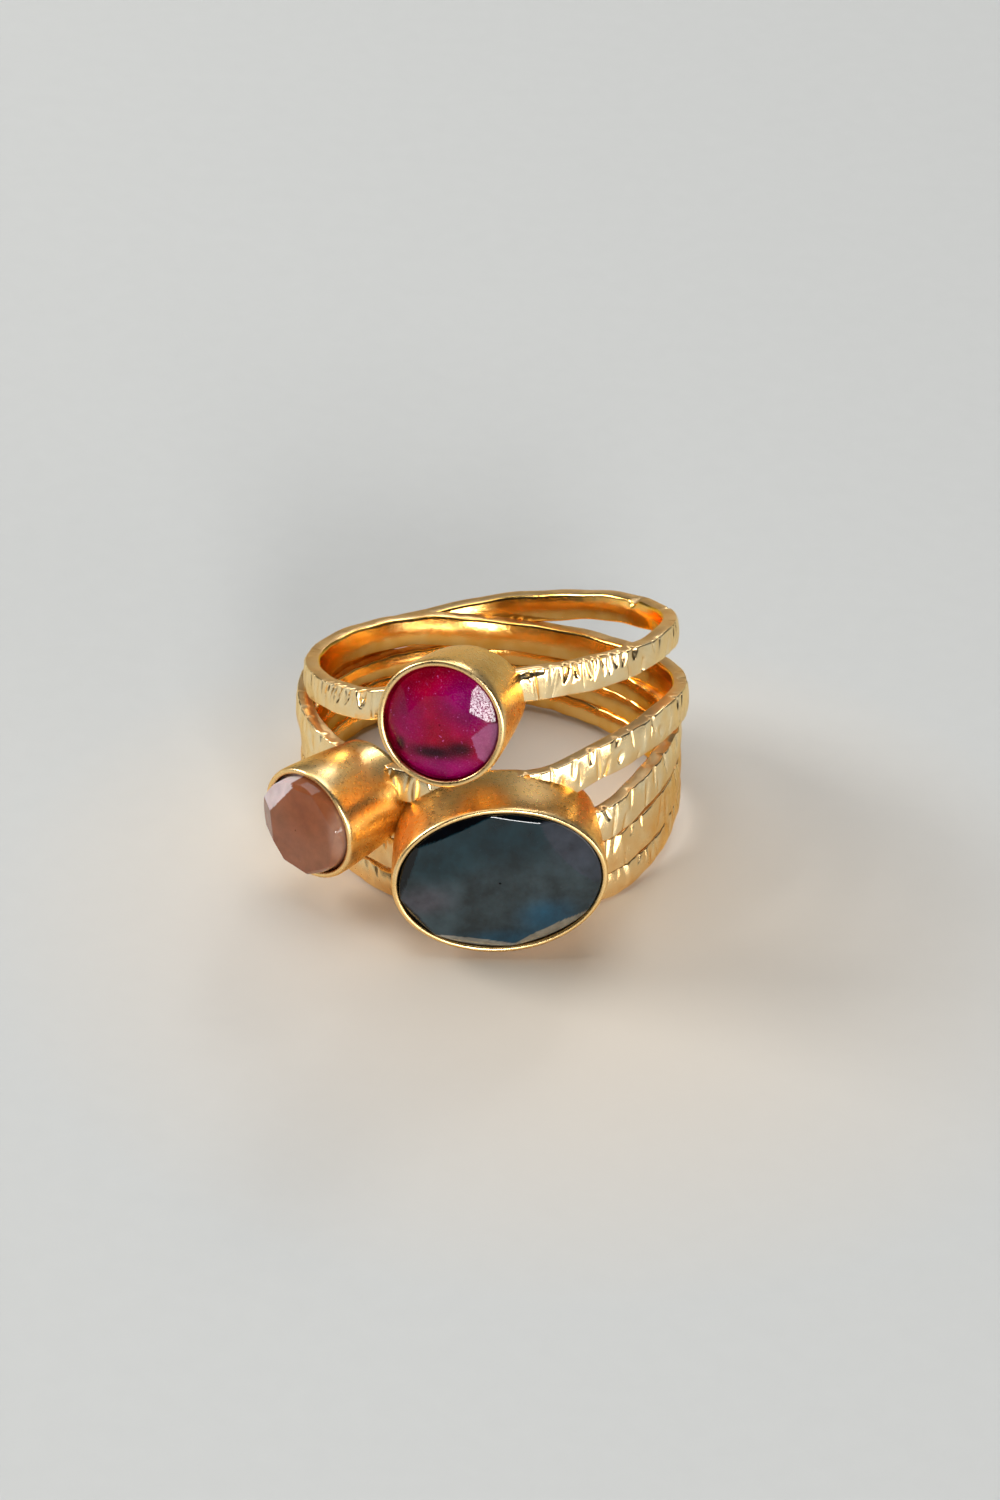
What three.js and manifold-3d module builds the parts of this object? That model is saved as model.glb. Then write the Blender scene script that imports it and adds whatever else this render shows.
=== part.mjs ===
// A stackable finger ring: five hammered strands soldered into one wide band, with three
// stones in bezel cups at its front. Millimetres; the finger hole runs up and down and is
// tipped back a little, because the ring lies on its side and rests on its lowest edges.
import * as THREE from "three";
import Module from "manifold-3d";

const wasm = await Module();
wasm.setup();

// Band
const fingerHoleRadius = 8.6;
const strandThickness = 1;
const strandWidth = 1.7;
const frontHeight = 12;
const edgeRounding = 0.2;
const dentDepth = 0.1;
const dentAngle = 8;
const stepAngle = 4;
const restTilt = 12.8;
const restRoll = 2.8;

// Bezel cups and stones
const redStoneWidth = 5.96;
const peachStoneWidth = 5.42;
const blueStoneLength = 10.16;
const blueStoneWidth = 7.52;
const redCrown = 0.55;
const peachCrown = 1.25;
const peachTableRise = 0.13;
const peachShoulderInset = 0.26;
const peachShoulderHeight = 0.95;
const peachNeckInset = 0.2;
const blueCrown = 0.6;
const pavilionDepth = 2;
const redTaper = 0.45;
const peachTaper = 0.35;
const blueTaper = 0.3;
const bezelWall = 0.26;
const bezelLip = 0.16;
const stoneGap = 0.06;
const girdleHeight = 0.25;
const girdleDepth = 0.42;
const girdleSides = 24;
const rimReach = 4.75;
const saddleShare = 0.45;

const degrees = Math.PI / 180;

// Each row: angle round the finger, height, width and outward reach. Heights are shares of
// frontHeight, widths shares of strandWidth, reaches shares of strandThickness. Angle 0 is
// the wearer's right of the stones, 90 the back of the finger, -90 the front.
const twinTurn = 720;
const twinRows = [
  [-101, 0.996, 0.94, 0],
  [-69, 1.037, 0.97, 0],
  [-42, 1.04, 0.87, 0],
  [-20, 1.037, 0.8, 0],
  [0, 0.996, 0.8, 0],
  [25, 0.937, 0.84, 0.12],
  [50, 0.892, 0.88, 0.1],
  [70, 0.835, 0.91, 0.35],
  [90, 0.78, 0.91, 0.85],
  [115, 0.725, 0.88, 0.9],
  [150, 0.688, 0.88, 0.65],
  [180, 0.67, 0.88, 0.4],
  [216, 0.603, 0.94, 0.4],
  [259, 0.57, 0.94, 0.4],
  [286, 0.59, 1.03, 0.45],
  [306, 0.667, 1.06, 0.45],
  [336, 0.72, 1, 0.45],
  [360, 0.7, 1, 0.55],
  [385, 0.678, 1, 0.4],
  [410, 0.675, 1, 0.1],
  [450, 0.7, 1, 0],
  [476, 0.745, 0.97, 0],
  [503, 0.763, 0.94, 0],
  [540, 0.8, 0.88, 0],
  [568, 0.843, 0.88, 0],
  [586, 0.87, 0.88, 0],
  [597, 0.91, 0.9, 0],
];
const loopTurn = 360;
const upperLoopRows = [
  [-135, 0.425, 0.94, 0.2],
  [-90, 0.35, 1.03, 0.2],
  [-55, 0.363, 1.03, 0.2],
  [-33, 0.458, 1.06, 0.2],
  [-12, 0.52, 0.94, 0.2],
  [15, 0.545, 0.82, 0.2],
  [46, 0.563, 0.74, 0.2],
  [90, 0.608, 0.7, 0.2],
  [135, 0.6, 0.7, 0.2],
  [180, 0.55, 0.85, 0.2],
];
const middleLoopRows = [
  [-135, 0.292, 0.94, 0.2],
  [-90, 0.196, 1.06, 0.2],
  [-54, 0.214, 1.09, 0.2],
  [-33, 0.288, 1.15, 0.2],
  [-12, 0.37, 1.06, 0.2],
  [15, 0.43, 0.9, 0.2],
  [46, 0.467, 0.79, 0.2],
  [90, 0.517, 0.74, 0.2],
  [135, 0.5, 0.74, 0.2],
  [180, 0.425, 0.85, 0.2],
];
const lowerLoopRows = [
  [-135, 0.163, 0.74, 0.2],
  [-122, 0.117, 0.74, 0.2],
  [-90, 0.075, 0.8, 0.2],
  [-54, 0.083, 0.8, 0.2],
  [-33, 0.148, 0.74, 0.2],
  [-12, 0.245, 0.72, 0.2],
  [15, 0.317, 0.71, 0.2],
  [46, 0.363, 0.71, 0.2],
  [90, 0.43, 0.71, 0.2],
  [135, 0.4, 0.71, 0.2],
  [180, 0.3, 0.72, 0.2],
];

// Each cup: half length and half width of its stone, where it stands, how its axis leans up
// and swings sideways, how its long side turns, how it narrows inward, and the stone's cut.
// A proud stone has shoulders, rows of inset and height above the girdle, and tableRise is
// how much higher its table gets for each millimetre toward the left.
const cups = [
  {
    stone: "red_stone",
    halfLength: redStoneWidth / 2,
    halfWidth: redStoneWidth / 2,
    angle: -100.5,
    height: 0.988,
    lean: 3,
    swing: -6,
    turn: 0,
    taper: redTaper,
    tableShare: 0.58,
    crownHeight: redCrown,
    tableRise: 0,
    shoulders: [],
    cutTurn: -1.5,
  },
  {
    stone: "peach_stone",
    halfLength: peachStoneWidth / 2,
    halfWidth: peachStoneWidth / 2,
    angle: -133,
    height: 0.438,
    lean: -7,
    swing: 0,
    turn: 0,
    taper: peachTaper,
    tableShare: 0.78,
    crownHeight: peachCrown,
    tableRise: peachTableRise,
    shoulders: [
      [peachNeckInset, bezelLip * 1.25],
      [peachShoulderInset, peachShoulderHeight],
    ],
    cutTurn: -16,
  },
  {
    stone: "blue_stone",
    halfLength: blueStoneLength / 2,
    halfWidth: blueStoneWidth / 2,
    angle: -88,
    height: 0.305,
    lean: -6,
    swing: 0,
    turn: 4,
    taper: blueTaper,
    tableShare: 0.87,
    crownHeight: blueCrown,
    tableRise: 0,
    shoulders: [],
    cutTurn: 2,
  },
];

// Smooth value of one column at any angle, for rows that repeat every turn.
function columnAt(rows, turn, column, angle) {
  const count = rows.length;
  const from = (index) => {
    const lap = Math.floor(index / count);
    const row = rows[index - lap * count];
    return [row[0] + lap * turn, row[column]];
  };
  const wrapped = angle - turn * Math.floor((angle - rows[0][0]) / turn);
  let index = 0;
  while (index + 1 < count && rows[index + 1][0] <= wrapped) {
    index += 1;
  }
  const before = from(index - 1);
  const start = from(index);
  const end = from(index + 1);
  const after = from(index + 2);
  const span = end[0] - start[0];
  const part = (wrapped - start[0]) / span;
  const slopeStart = gentleSlope(before, start, end);
  const slopeEnd = gentleSlope(start, end, after);
  const squared = part * part;
  const cubed = squared * part;
  return (
    (2 * cubed - 3 * squared + 1) * start[1] +
    (cubed - 2 * squared + part) * span * slopeStart +
    (3 * squared - 2 * cubed) * end[1] +
    (cubed - squared) * span * slopeEnd
  );
}

// Slope at a table row that never overshoots its neighbours.
function gentleSlope(before, here, after) {
  const left = (here[1] - before[1]) / (here[0] - before[0]);
  const right = (after[1] - here[1]) / (after[0] - here[0]);
  if (left * right <= 0) {
    return 0;
  }
  return (2 * left * right) / (left + right);
}

// Closed solid through a list of rings that all have the same number of points.
function loft(rings, closed) {
  const size = rings[0].length;
  const points = rings.flat();
  const faces = [];
  const joins = closed ? rings.length : rings.length - 1;
  for (let ring = 0; ring < joins; ring += 1) {
    const next = (ring + 1) % rings.length;
    for (let side = 0; side < size; side += 1) {
      const other = (side + 1) % size;
      const a = ring * size + side;
      const b = ring * size + other;
      const c = next * size + other;
      const d = next * size + side;
      faces.push([a, b, c], [a, c, d]);
    }
  }
  if (!closed) {
    const last = (rings.length - 1) * size;
    for (let side = 1; side + 1 < size; side += 1) {
      faces.push([0, side + 1, side]);
      faces.push([last, last + side, last + side + 1]);
    }
  }
  return solidFrom(points, faces);
}

// Solid from corner points and triangles, turned so that its faces look outward.
function solidFrom(points, faces) {
  let volume = 0;
  for (const [a, b, c] of faces) {
    volume += points[a].dot(points[b].clone().cross(points[c]));
  }
  const outward = volume > 0 ? faces : faces.map(([a, b, c]) => [a, c, b]);
  const mesh = new wasm.Mesh({
    numProp: 3,
    vertProperties: new Float32Array(points.flatMap((point) => point.toArray())),
    triVerts: new Uint32Array(outward.flat()),
  });
  return new wasm.Manifold(mesh);
}

// Section of a strand at one angle, with a hammer dent pressed into its outer face.
function strandRing(rows, turn, angle, seed) {
  const height = columnAt(rows, turn, 1, angle) * frontHeight;
  const half = (columnAt(rows, turn, 2, angle) * strandWidth) / 2;
  const reach = columnAt(rows, turn, 3, angle) * strandThickness;
  const inner = fingerHoleRadius + reach;
  const outer = inner + strandThickness;
  const round = Math.min(edgeRounding, half / 2, strandThickness / 3);
  const beat = Math.cos(((angle + seed * 3) / dentAngle) * Math.PI * 2);
  const dent = dentDepth * (0.5 - 0.5 * beat) * (0.7 + 0.3 * Math.sin(angle * 0.31 + seed));
  const section = [
    [inner, -half + round],
    [inner, half - round],
    [inner + round, half],
    [outer - round, half],
    [outer - dent * 0.5, half - round],
    [outer - dent, 0],
    [outer - dent * 0.5, -half + round],
    [outer - round, -half],
    [inner + round, -half],
  ];
  const across = Math.cos(angle * degrees);
  const away = Math.sin(angle * degrees);
  return section.map(
    ([radius, lift]) => new THREE.Vector3(radius * across, radius * away, height + lift),
  );
}

// Part of a strand between two angles, with flat ends.
function strandArc(rows, turn, start, end, seed) {
  const steps = Math.round((end - start) / stepAngle);
  const rings = [];
  for (let step = 0; step <= steps; step += 1) {
    rings.push(strandRing(rows, turn, start + ((end - start) * step) / steps, seed));
  }
  return loft(rings, false);
}

// Whole closed strand that goes once round the finger.
function strandLoop(rows, seed) {
  const steps = Math.round(loopTurn / stepAngle);
  const rings = [];
  for (let step = 0; step < steps; step += 1) {
    rings.push(strandRing(rows, loopTurn, rows[0][0] + (loopTurn * step) / steps, seed));
  }
  return loft(rings, true);
}

// Oval ring of points about a cup's axis; level 0 is the rim, positive is outward, and rise
// lifts the ring's left side.
function ovalRing(cup, spread, level, rise = 0) {
  const points = [];
  for (let side = 0; side < girdleSides; side += 1) {
    const angle = ((side + 0.5) / girdleSides) * Math.PI * 2 + cup.cutTurn * degrees;
    const along = (cup.halfLength + spread) * Math.cos(angle);
    const across = (cup.halfWidth + spread) * Math.sin(angle);
    points.push(cupPoint(cup, along, across, level - rise * along));
  }
  return points;
}

// Point in a cup's own frame (along its length, along its width, outward) put in place.
function cupPoint(cup, along, across, level) {
  const turn = cup.turn * degrees;
  const sideways = along * Math.cos(turn) - across * Math.sin(turn);
  const upward = along * Math.sin(turn) + across * Math.cos(turn);
  const lean = cup.lean * degrees;
  const angle = cup.angle * degrees;
  const facing = angle + cup.swing * degrees;
  const outward = new THREE.Vector3(
    Math.cos(lean) * Math.cos(facing),
    Math.cos(lean) * Math.sin(facing),
    Math.sin(lean),
  );
  const rightward = new THREE.Vector3(-Math.sin(facing), Math.cos(facing), 0);
  const upAxis = new THREE.Vector3().crossVectors(outward, rightward);
  const reach = fingerHoleRadius + rimReach;
  const high = cup.height * frontHeight;
  return new THREE.Vector3(reach * Math.cos(angle), reach * Math.sin(angle), high)
    .addScaledVector(rightward, sideways)
    .addScaledVector(upAxis, upward)
    .addScaledVector(outward, level);
}

// Bezel cup with a thin rim turned in over the stone and a seat that follows the pavilion.
function bezelCup(cup) {
  const floor = -girdleDepth - girdleHeight;
  const base = -rimReach - strandThickness / 2;
  const small = Math.min(cup.halfLength, cup.halfWidth);
  const rings = [
    ovalRing(cup, bezelWall + stoneGap - cup.taper, base),
    ovalRing(cup, bezelWall + stoneGap, floor),
    ovalRing(cup, bezelWall + stoneGap * 0.6, -bezelLip),
    ovalRing(cup, bezelWall - stoneGap * 0.4, 0),
    ovalRing(cup, -stoneGap * 2, 0),
    ovalRing(cup, -stoneGap * 2, -bezelLip),
    ovalRing(cup, stoneGap, -bezelLip * 1.9),
    ovalRing(cup, stoneGap, floor - stoneGap),
    ovalRing(cup, stoneGap - small * 0.85, floor - pavilionDepth - stoneGap * 1.5),
  ];
  return loft(rings, false);
}

// Faceted stone: table, eight crown facets with eight between them, shoulders, girdle, pavilion.
function cutStone(cup) {
  const tableSides = 8;
  const perTable = girdleSides / tableSides;
  const table = [];
  for (let corner = 0; corner < tableSides; corner += 1) {
    const turn = ((corner * perTable + 0.5 + perTable / 2) / girdleSides) * Math.PI * 2;
    const angle = turn + cup.cutTurn * degrees;
    const along = cup.halfLength * cup.tableShare * Math.cos(angle);
    const across = cup.halfWidth * cup.tableShare * Math.sin(angle);
    const level = cup.crownHeight - girdleDepth - cup.tableRise * along;
    table.push(cupPoint(cup, along, across, level));
  }
  const small = Math.min(cup.halfLength, cup.halfWidth);
  const belts = [
    ovalRing(cup, -small * 0.9, -girdleDepth - girdleHeight - pavilionDepth),
    ovalRing(cup, 0, -girdleDepth - girdleHeight),
    ovalRing(cup, 0, -girdleDepth),
  ];
  for (const [inset, height] of cup.shoulders) {
    const rise = (cup.tableRise * height) / cup.crownHeight;
    belts.push(ovalRing(cup, -inset, height - girdleDepth, rise));
  }
  const points = [...table, ...belts.flat()];
  const beltFrom = (belt) => tableSides + belt * girdleSides;
  const crownFrom = beltFrom(belts.length - 1);
  const faces = [];
  for (let corner = 0; corner < tableSides; corner += 1) {
    const nextCorner = (corner + 1) % tableSides;
    const firstSide = corner * perTable;
    for (let side = firstSide; side < firstSide + perTable; side += 1) {
      faces.push([corner, crownFrom + side, crownFrom + ((side + 1) % girdleSides)]);
    }
    const meeting = crownFrom + ((firstSide + perTable) % girdleSides);
    faces.push([corner, meeting, nextCorner]);
  }
  for (let corner = 1; corner + 1 < tableSides; corner += 1) {
    faces.push([0, corner, corner + 1]);
  }
  for (let belt = 1; belt < belts.length; belt += 1) {
    const from = beltFrom(belt);
    const to = beltFrom(belt - 1);
    for (let side = 0; side < girdleSides; side += 1) {
      const other = (side + 1) % girdleSides;
      faces.push([from + side, to + side, to + other]);
      faces.push([from + side, to + other, from + other]);
    }
  }
  const keelFrom = beltFrom(0);
  for (let side = 1; side + 1 < girdleSides; side += 1) {
    faces.push([keelFrom, keelFrom + side + 1, keelFrom + side]);
  }
  return solidFrom(points, faces);
}

// Upright round bar through the finger hole, used to shape the cups' backs.
function fingerBar(radius) {
  const sides = 72;
  const rings = [-1, 2].map((share) => {
    const ring = [];
    for (let side = 0; side < sides; side += 1) {
      const angle = (side / sides) * Math.PI * 2;
      ring.push(
        new THREE.Vector3(
          radius * Math.cos(angle),
          radius * Math.sin(angle),
          frontHeight * share,
        ),
      );
    }
    return ring;
  });
  return loft(rings, false);
}

function meshFrom(solid, name, finish) {
  const data = solid.getMesh();
  const geometry = new THREE.BufferGeometry();
  const positions = new Float32Array(data.vertProperties);
  geometry.setAttribute("position", new THREE.BufferAttribute(positions, 3));
  geometry.setIndex(new THREE.BufferAttribute(new Uint32Array(data.triVerts), 1));
  geometry.computeVertexNormals();
  const mesh = new THREE.Mesh(geometry, new THREE.MeshStandardMaterial(finish));
  mesh.name = name;
  return mesh;
}

// Strands
const overlap = stepAngle;
const firstAngle = twinRows[0][0];
const halfTurn = twinTurn / 2;
let metal = strandArc(
  twinRows,
  twinTurn,
  firstAngle - overlap,
  firstAngle + halfTurn + overlap,
  1,
);
metal = metal.add(
  strandArc(
    twinRows,
    twinTurn,
    firstAngle + halfTurn - overlap,
    firstAngle + twinTurn + overlap,
    2,
  ),
);
[upperLoopRows, middleLoopRows, lowerLoopRows].forEach((rows, index) => {
  metal = metal.add(strandLoop(rows, index + 3));
});

// Cups, cut to a saddle that fits the strands
const saddle = fingerBar(fingerHoleRadius + strandThickness * saddleShare);
for (const cup of cups) {
  metal = metal.add(bezelCup(cup).subtract(saddle));
}
for (const cup of cups) {
  const pocket = loft(
    [
      ovalRing(cup, -stoneGap * 2, cup.crownHeight),
      ovalRing(cup, -stoneGap * 2, -bezelLip),
      ovalRing(cup, stoneGap, -bezelLip * 1.9),
      ovalRing(cup, stoneGap, -girdleDepth - girdleHeight - stoneGap),
    ],
    false,
  );
  metal = metal.subtract(pocket);
}

const gold = { color: 0xd0a55c, roughness: 0.28, metalness: 0.95 };
const finishes = {
  red_stone: { color: 0x7a0b45, roughness: 0.12, metalness: 0 },
  peach_stone: { color: 0xa3603f, roughness: 0.15, metalness: 0 },
  blue_stone: { color: 0x33484f, roughness: 0.15, metalness: 0 },
};

const ring = new THREE.Group();
ring.name = "ring";
ring.add(meshFrom(metal, "gold_band", gold));
for (const cup of cups) {
  ring.add(meshFrom(cutStone(cup), cup.stone, finishes[cup.stone]));
}

// Rest pose: tipped back, lowest point on the ground, standing over the middle
ring.rotation.set(-restTilt * degrees, -restRoll * degrees, 0, "YXZ");
ring.updateMatrixWorld(true);
const extent = new THREE.Box3().setFromObject(ring, true);
const middle = extent.getCenter(new THREE.Vector3());
ring.position.set(-middle.x, -middle.y, -extent.min.z);

const group = new THREE.Group();
group.name = "stackable_ring";
group.add(ring);
group.updateMatrixWorld(true);

export default group;
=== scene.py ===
"""Dressed model and studio for a stackable finger ring with three bezel-set stones."""

import logging
import math
from dataclasses import dataclass
from enum import Enum, IntEnum
from typing import NamedTuple

import bpy
import numpy as np
from mathutils import Matrix, Vector


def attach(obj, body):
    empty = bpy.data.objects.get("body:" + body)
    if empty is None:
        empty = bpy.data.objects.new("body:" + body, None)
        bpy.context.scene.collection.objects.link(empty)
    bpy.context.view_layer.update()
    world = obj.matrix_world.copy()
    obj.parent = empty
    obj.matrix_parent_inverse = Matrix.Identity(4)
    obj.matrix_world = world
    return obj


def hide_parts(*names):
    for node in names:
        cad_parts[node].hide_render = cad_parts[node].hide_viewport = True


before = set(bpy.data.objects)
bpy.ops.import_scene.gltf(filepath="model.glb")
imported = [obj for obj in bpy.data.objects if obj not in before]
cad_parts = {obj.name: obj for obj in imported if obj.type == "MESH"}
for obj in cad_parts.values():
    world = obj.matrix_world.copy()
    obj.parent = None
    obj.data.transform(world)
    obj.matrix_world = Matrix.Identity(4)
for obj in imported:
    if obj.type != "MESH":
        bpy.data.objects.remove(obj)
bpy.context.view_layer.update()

LOG = logging.getLogger("ring")

# Sizes in millimetres, angles in degrees
MM = 0.001
FINGER_HOLE_RADIUS = 8.6
STRAND_THICKNESS = 1.0
STRAND_WIDTH = 1.7
STRAND_RADIUS = FINGER_HOLE_RADIUS + STRAND_THICKNESS
FRONT_HEIGHT = 12.0
BEZEL_LIP = 0.16
STONE_GAP = 0.06
GIRDLE_HEIGHT = 0.25
GIRDLE_DEPTH = 0.42
SEAT_LEVEL = -GIRDLE_DEPTH - GIRDLE_HEIGHT
PAVILION_DEPTH = 2.0
RIM_REACH = 4.75
SADDLE_SHARE = 0.45

# Place of the ring's own frame: finger hole along Z, tipped into its rest pose
REST_TILT = 12.8
REST_ROLL = 2.8
RING_ORIGIN = (1.01, 0.207, -2.171)

# Camera, seen from the ring's own frame
CAMERA_ELEVATION = 21.5
CAMERA_DISTANCE = 260.0
CAMERA_SCALE = 19.3
ORIGIN_PIXEL = (491.0, 846.0)
IMAGE_SIZE = (1000, 1500)
SENSOR = 36.0
EXPOSURE = -0.72

# Angle round the finger, height, width and outward reach, as shares of FRONT_HEIGHT,
# STRAND_WIDTH and STRAND_THICKNESS
TWIN_ROWS = (
    (-101, 0.996, 0.94, 0),
    (-69, 1.037, 0.97, 0),
    (-42, 1.04, 0.87, 0),
    (-20, 1.037, 0.8, 0),
    (0, 0.996, 0.8, 0),
    (25, 0.937, 0.84, 0.12),
    (50, 0.892, 0.88, 0.1),
    (70, 0.835, 0.91, 0.35),
    (90, 0.78, 0.91, 0.85),
    (115, 0.725, 0.88, 0.9),
    (150, 0.688, 0.88, 0.65),
    (180, 0.67, 0.88, 0.4),
    (216, 0.603, 0.94, 0.4),
    (259, 0.57, 0.94, 0.4),
    (286, 0.59, 1.03, 0.45),
    (306, 0.667, 1.06, 0.45),
    (336, 0.72, 1, 0.45),
    (360, 0.7, 1, 0.55),
    (385, 0.678, 1, 0.4),
    (410, 0.675, 1, 0.1),
    (450, 0.7, 1, 0),
    (476, 0.745, 0.97, 0),
    (503, 0.763, 0.94, 0),
    (540, 0.8, 0.88, 0),
    (568, 0.843, 0.88, 0),
    (586, 0.87, 0.88, 0),
    (597, 0.91, 0.9, 0),
)
# Angle, place across, reach across, width, slant and depth of the deepest hammer marks
TWIN_NOTCHES = (
    (587.5, 0.8, 0.75, 0.13, 0.1, 0.3),
    (582.0, 0.7, 0.7, 0.1, 0.4, 0.16),
    (578.0, 0.8, 0.8, 0.1, 0.4, 0.18),
    (574.0, 0.6, 0.8, 0.1, 0.35, 0.16),
    (570.0, 0.7, 0.7, 0.09, 0.3, 0.16),
    (-66.5, 0.9, 0.9, 0.11, 0.25, 0.22),
    (-64.0, 0.9, 0.75, 0.09, -0.25, 0.18),
    (-59.5, 0.8, 0.8, 0.09, -0.2, 0.18),
    (-57.0, 0.7, 0.9, 0.08, 0.15, 0.16),
    (-53.5, 0.9, 0.9, 0.09, 0.1, 0.16),
    (-79.0, 1.0, 0.3, 0.9, 0.0, 0.16),
)
UPPER_ROWS = (
    (-135, 0.425, 0.94, 0.2),
    (-90, 0.35, 1.03, 0.2),
    (-55, 0.363, 1.03, 0.2),
    (-33, 0.458, 1.06, 0.2),
    (-12, 0.52, 0.94, 0.2),
    (15, 0.545, 0.82, 0.2),
    (46, 0.563, 0.74, 0.2),
    (90, 0.608, 0.7, 0.2),
    (135, 0.6, 0.7, 0.2),
    (180, 0.55, 0.85, 0.2),
)
MIDDLE_ROWS = (
    (-135, 0.292, 0.94, 0.2),
    (-90, 0.196, 1.06, 0.2),
    (-54, 0.214, 1.09, 0.2),
    (-33, 0.288, 1.15, 0.2),
    (-12, 0.37, 1.06, 0.2),
    (15, 0.43, 0.9, 0.2),
    (46, 0.467, 0.79, 0.2),
    (90, 0.517, 0.74, 0.2),
    (135, 0.5, 0.74, 0.2),
    (180, 0.425, 0.85, 0.2),
)
LOWER_ROWS = (
    (-135, 0.163, 0.74, 0.2),
    (-122, 0.117, 0.74, 0.2),
    (-90, 0.075, 0.8, 0.2),
    (-54, 0.083, 0.8, 0.2),
    (-33, 0.148, 0.74, 0.2),
    (-12, 0.245, 0.72, 0.2),
    (15, 0.317, 0.71, 0.2),
    (46, 0.363, 0.71, 0.2),
    (90, 0.43, 0.71, 0.2),
    (135, 0.4, 0.71, 0.2),
    (180, 0.3, 0.72, 0.2),
)


Colour = tuple[float, float, float]


class Slot(Enum):
    """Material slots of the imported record."""

    GOLD = "gold_metal"
    RED = "red_stone"
    PEACH = "peach_stone"
    BLUE = "blue_stone"


class Column(IntEnum):
    """Columns of a strand's rows, after the angle."""

    HEIGHT = 1
    WIDTH = 2
    REACH = 3


class Face(IntEnum):
    """Faces of a strand, in the order of their finishes."""

    OUTER = 0
    EDGE = 1
    INNER = 2


class PaintedOuterTone(Enum):
    """Tone of a strand's outer face: pale, or a warmer copy of the gold that paints warm reflected
    light.
    """

    PALE = "pale"
    WARM_REFLECTION = "warm"


class Mark(NamedTuple):
    """Hammer mark: place along and across the strand, and its own size."""

    along: float
    middle: float
    reach: float
    width: float
    slant: float
    depth: float


class Pit(NamedTuple):
    """Dip in a strand's upper edge, away from the outer (1) or inner (0) corner."""

    angle: float
    width: float
    depth: float
    spared: float


class Facet(NamedTuple):
    """Facet of a stone: its angle, its slope and where on the stone it starts."""

    angle: float
    slope: float
    share: float


class Tint(NamedTuple):
    """Painted reflection: a pale or dark tone that one facet shows over the stone around it, in
    place of light that the facet reflects or lets through.
    """

    facet: int
    colour: Colour
    strength: float


class Patch(NamedTuple):
    """Soft oval patch of colour in a stone, placed and sized as shares of it."""

    along: float
    across: float
    length: float
    width: float
    strength: float
    colour: Colour


@dataclass(frozen=True)
class RingFrame:
    """Where the ring's own frame stands in the model's frame."""

    tilt: float = REST_TILT
    roll: float = REST_ROLL
    origin: tuple[float, float, float] = RING_ORIGIN

    def matrix(self) -> Matrix:
        """Returns the rotation and shift from ring millimetres to model millimetres."""
        turn = Matrix.Rotation(math.radians(-self.roll), 4, "Y")
        tip = Matrix.Rotation(math.radians(-self.tilt), 4, "X")
        return Matrix.Translation(self.origin) @ turn @ tip

    def place(self, points: np.ndarray) -> np.ndarray:
        """Moves points from the ring's own frame into the model.

        Args:
            points: Array of shape (count, 3) in ring millimetres.

        Returns:
            Array of the same shape in model metres.
        """
        matrix = np.array(self.matrix())
        return (points @ matrix[:3, :3].T + matrix[:3, 3]) * MM


@dataclass(frozen=True)
class StrandTable:
    """Rows of a strand that repeat after every turn, read smoothly at any angle."""

    rows: tuple[tuple[float, ...], ...]
    turn: float

    def column(self, column: Column, angles: np.ndarray) -> np.ndarray:
        """Reads one column with a cubic that never overshoots its rows.

        Args:
            column: Which column to read.
            angles: Angles in degrees.

        Returns:
            The column's value at each angle.
        """
        table = np.array(self.rows, dtype=float)
        knots = table[:, 0]
        values = table[:, column]
        knots = np.concatenate([knots[-2:] - self.turn, knots, knots[:3] + self.turn])
        values = np.concatenate([values[-2:], values, values[:3]])
        steps = np.diff(values) / np.diff(knots)
        product = steps[:-1] * steps[1:]
        total = steps[:-1] + steps[1:]
        slopes = np.zeros(len(knots))
        safe = np.where(product > 0, total, 1.0)
        slopes[1:-1] = np.where(product > 0, 2 * product / safe, 0.0)
        start = table[0, 0]
        wrapped = start + np.mod(angles - start, self.turn)
        cell = np.clip(np.searchsorted(knots, wrapped, side="right") - 1, 0, len(knots) - 2)
        span = knots[cell + 1] - knots[cell]
        part = (wrapped - knots[cell]) / span
        square = part * part
        cube = square * part
        return (
            (2 * cube - 3 * square + 1) * values[cell]
            + (cube - 2 * square + part) * span * slopes[cell]
            + (3 * square - 2 * cube) * values[cell + 1]
            + (cube - square) * span * slopes[cell + 1]
        )


@dataclass(frozen=True)
class MeshPiece:
    """Turns arrays of points and faces into a named Blender object."""

    name: str

    def build(self, points: np.ndarray, faces: np.ndarray) -> bpy.types.Object:
        """Makes the object at the model's origin.

        Args:
            points: Array of shape (count, 3) in metres.
            faces: Array of corner numbers, one face a row.

        Returns:
            The new object, linked into the scene.
        """
        mesh = bpy.data.meshes.new(self.name)
        mesh.from_pydata(points.tolist(), [], faces.tolist())
        mesh.validate()
        mesh.shade_smooth()
        piece = bpy.data.objects.new(self.name, mesh)
        bpy.context.scene.collection.objects.link(piece)
        return piece


def grid_faces(rings: int, size: int, closed: bool) -> np.ndarray:
    """Quads between neighbouring rings of points.

    Args:
        rings: How many rings there are.
        size: Points in a ring.
        closed: Whether the last ring joins the first.

    Returns:
        Array of four corner numbers a row.
    """
    first = np.arange(rings if closed else rings - 1)[:, None]
    side = np.arange(size)[None, :]
    after = (first + 1) % rings
    beside = (side + 1) % size
    corners = (
        first * size + side,
        after * size + side,
        after * size + beside,
        first * size + beside,
    )
    return np.stack(corners, axis=-1).reshape(-1, 4)


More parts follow.
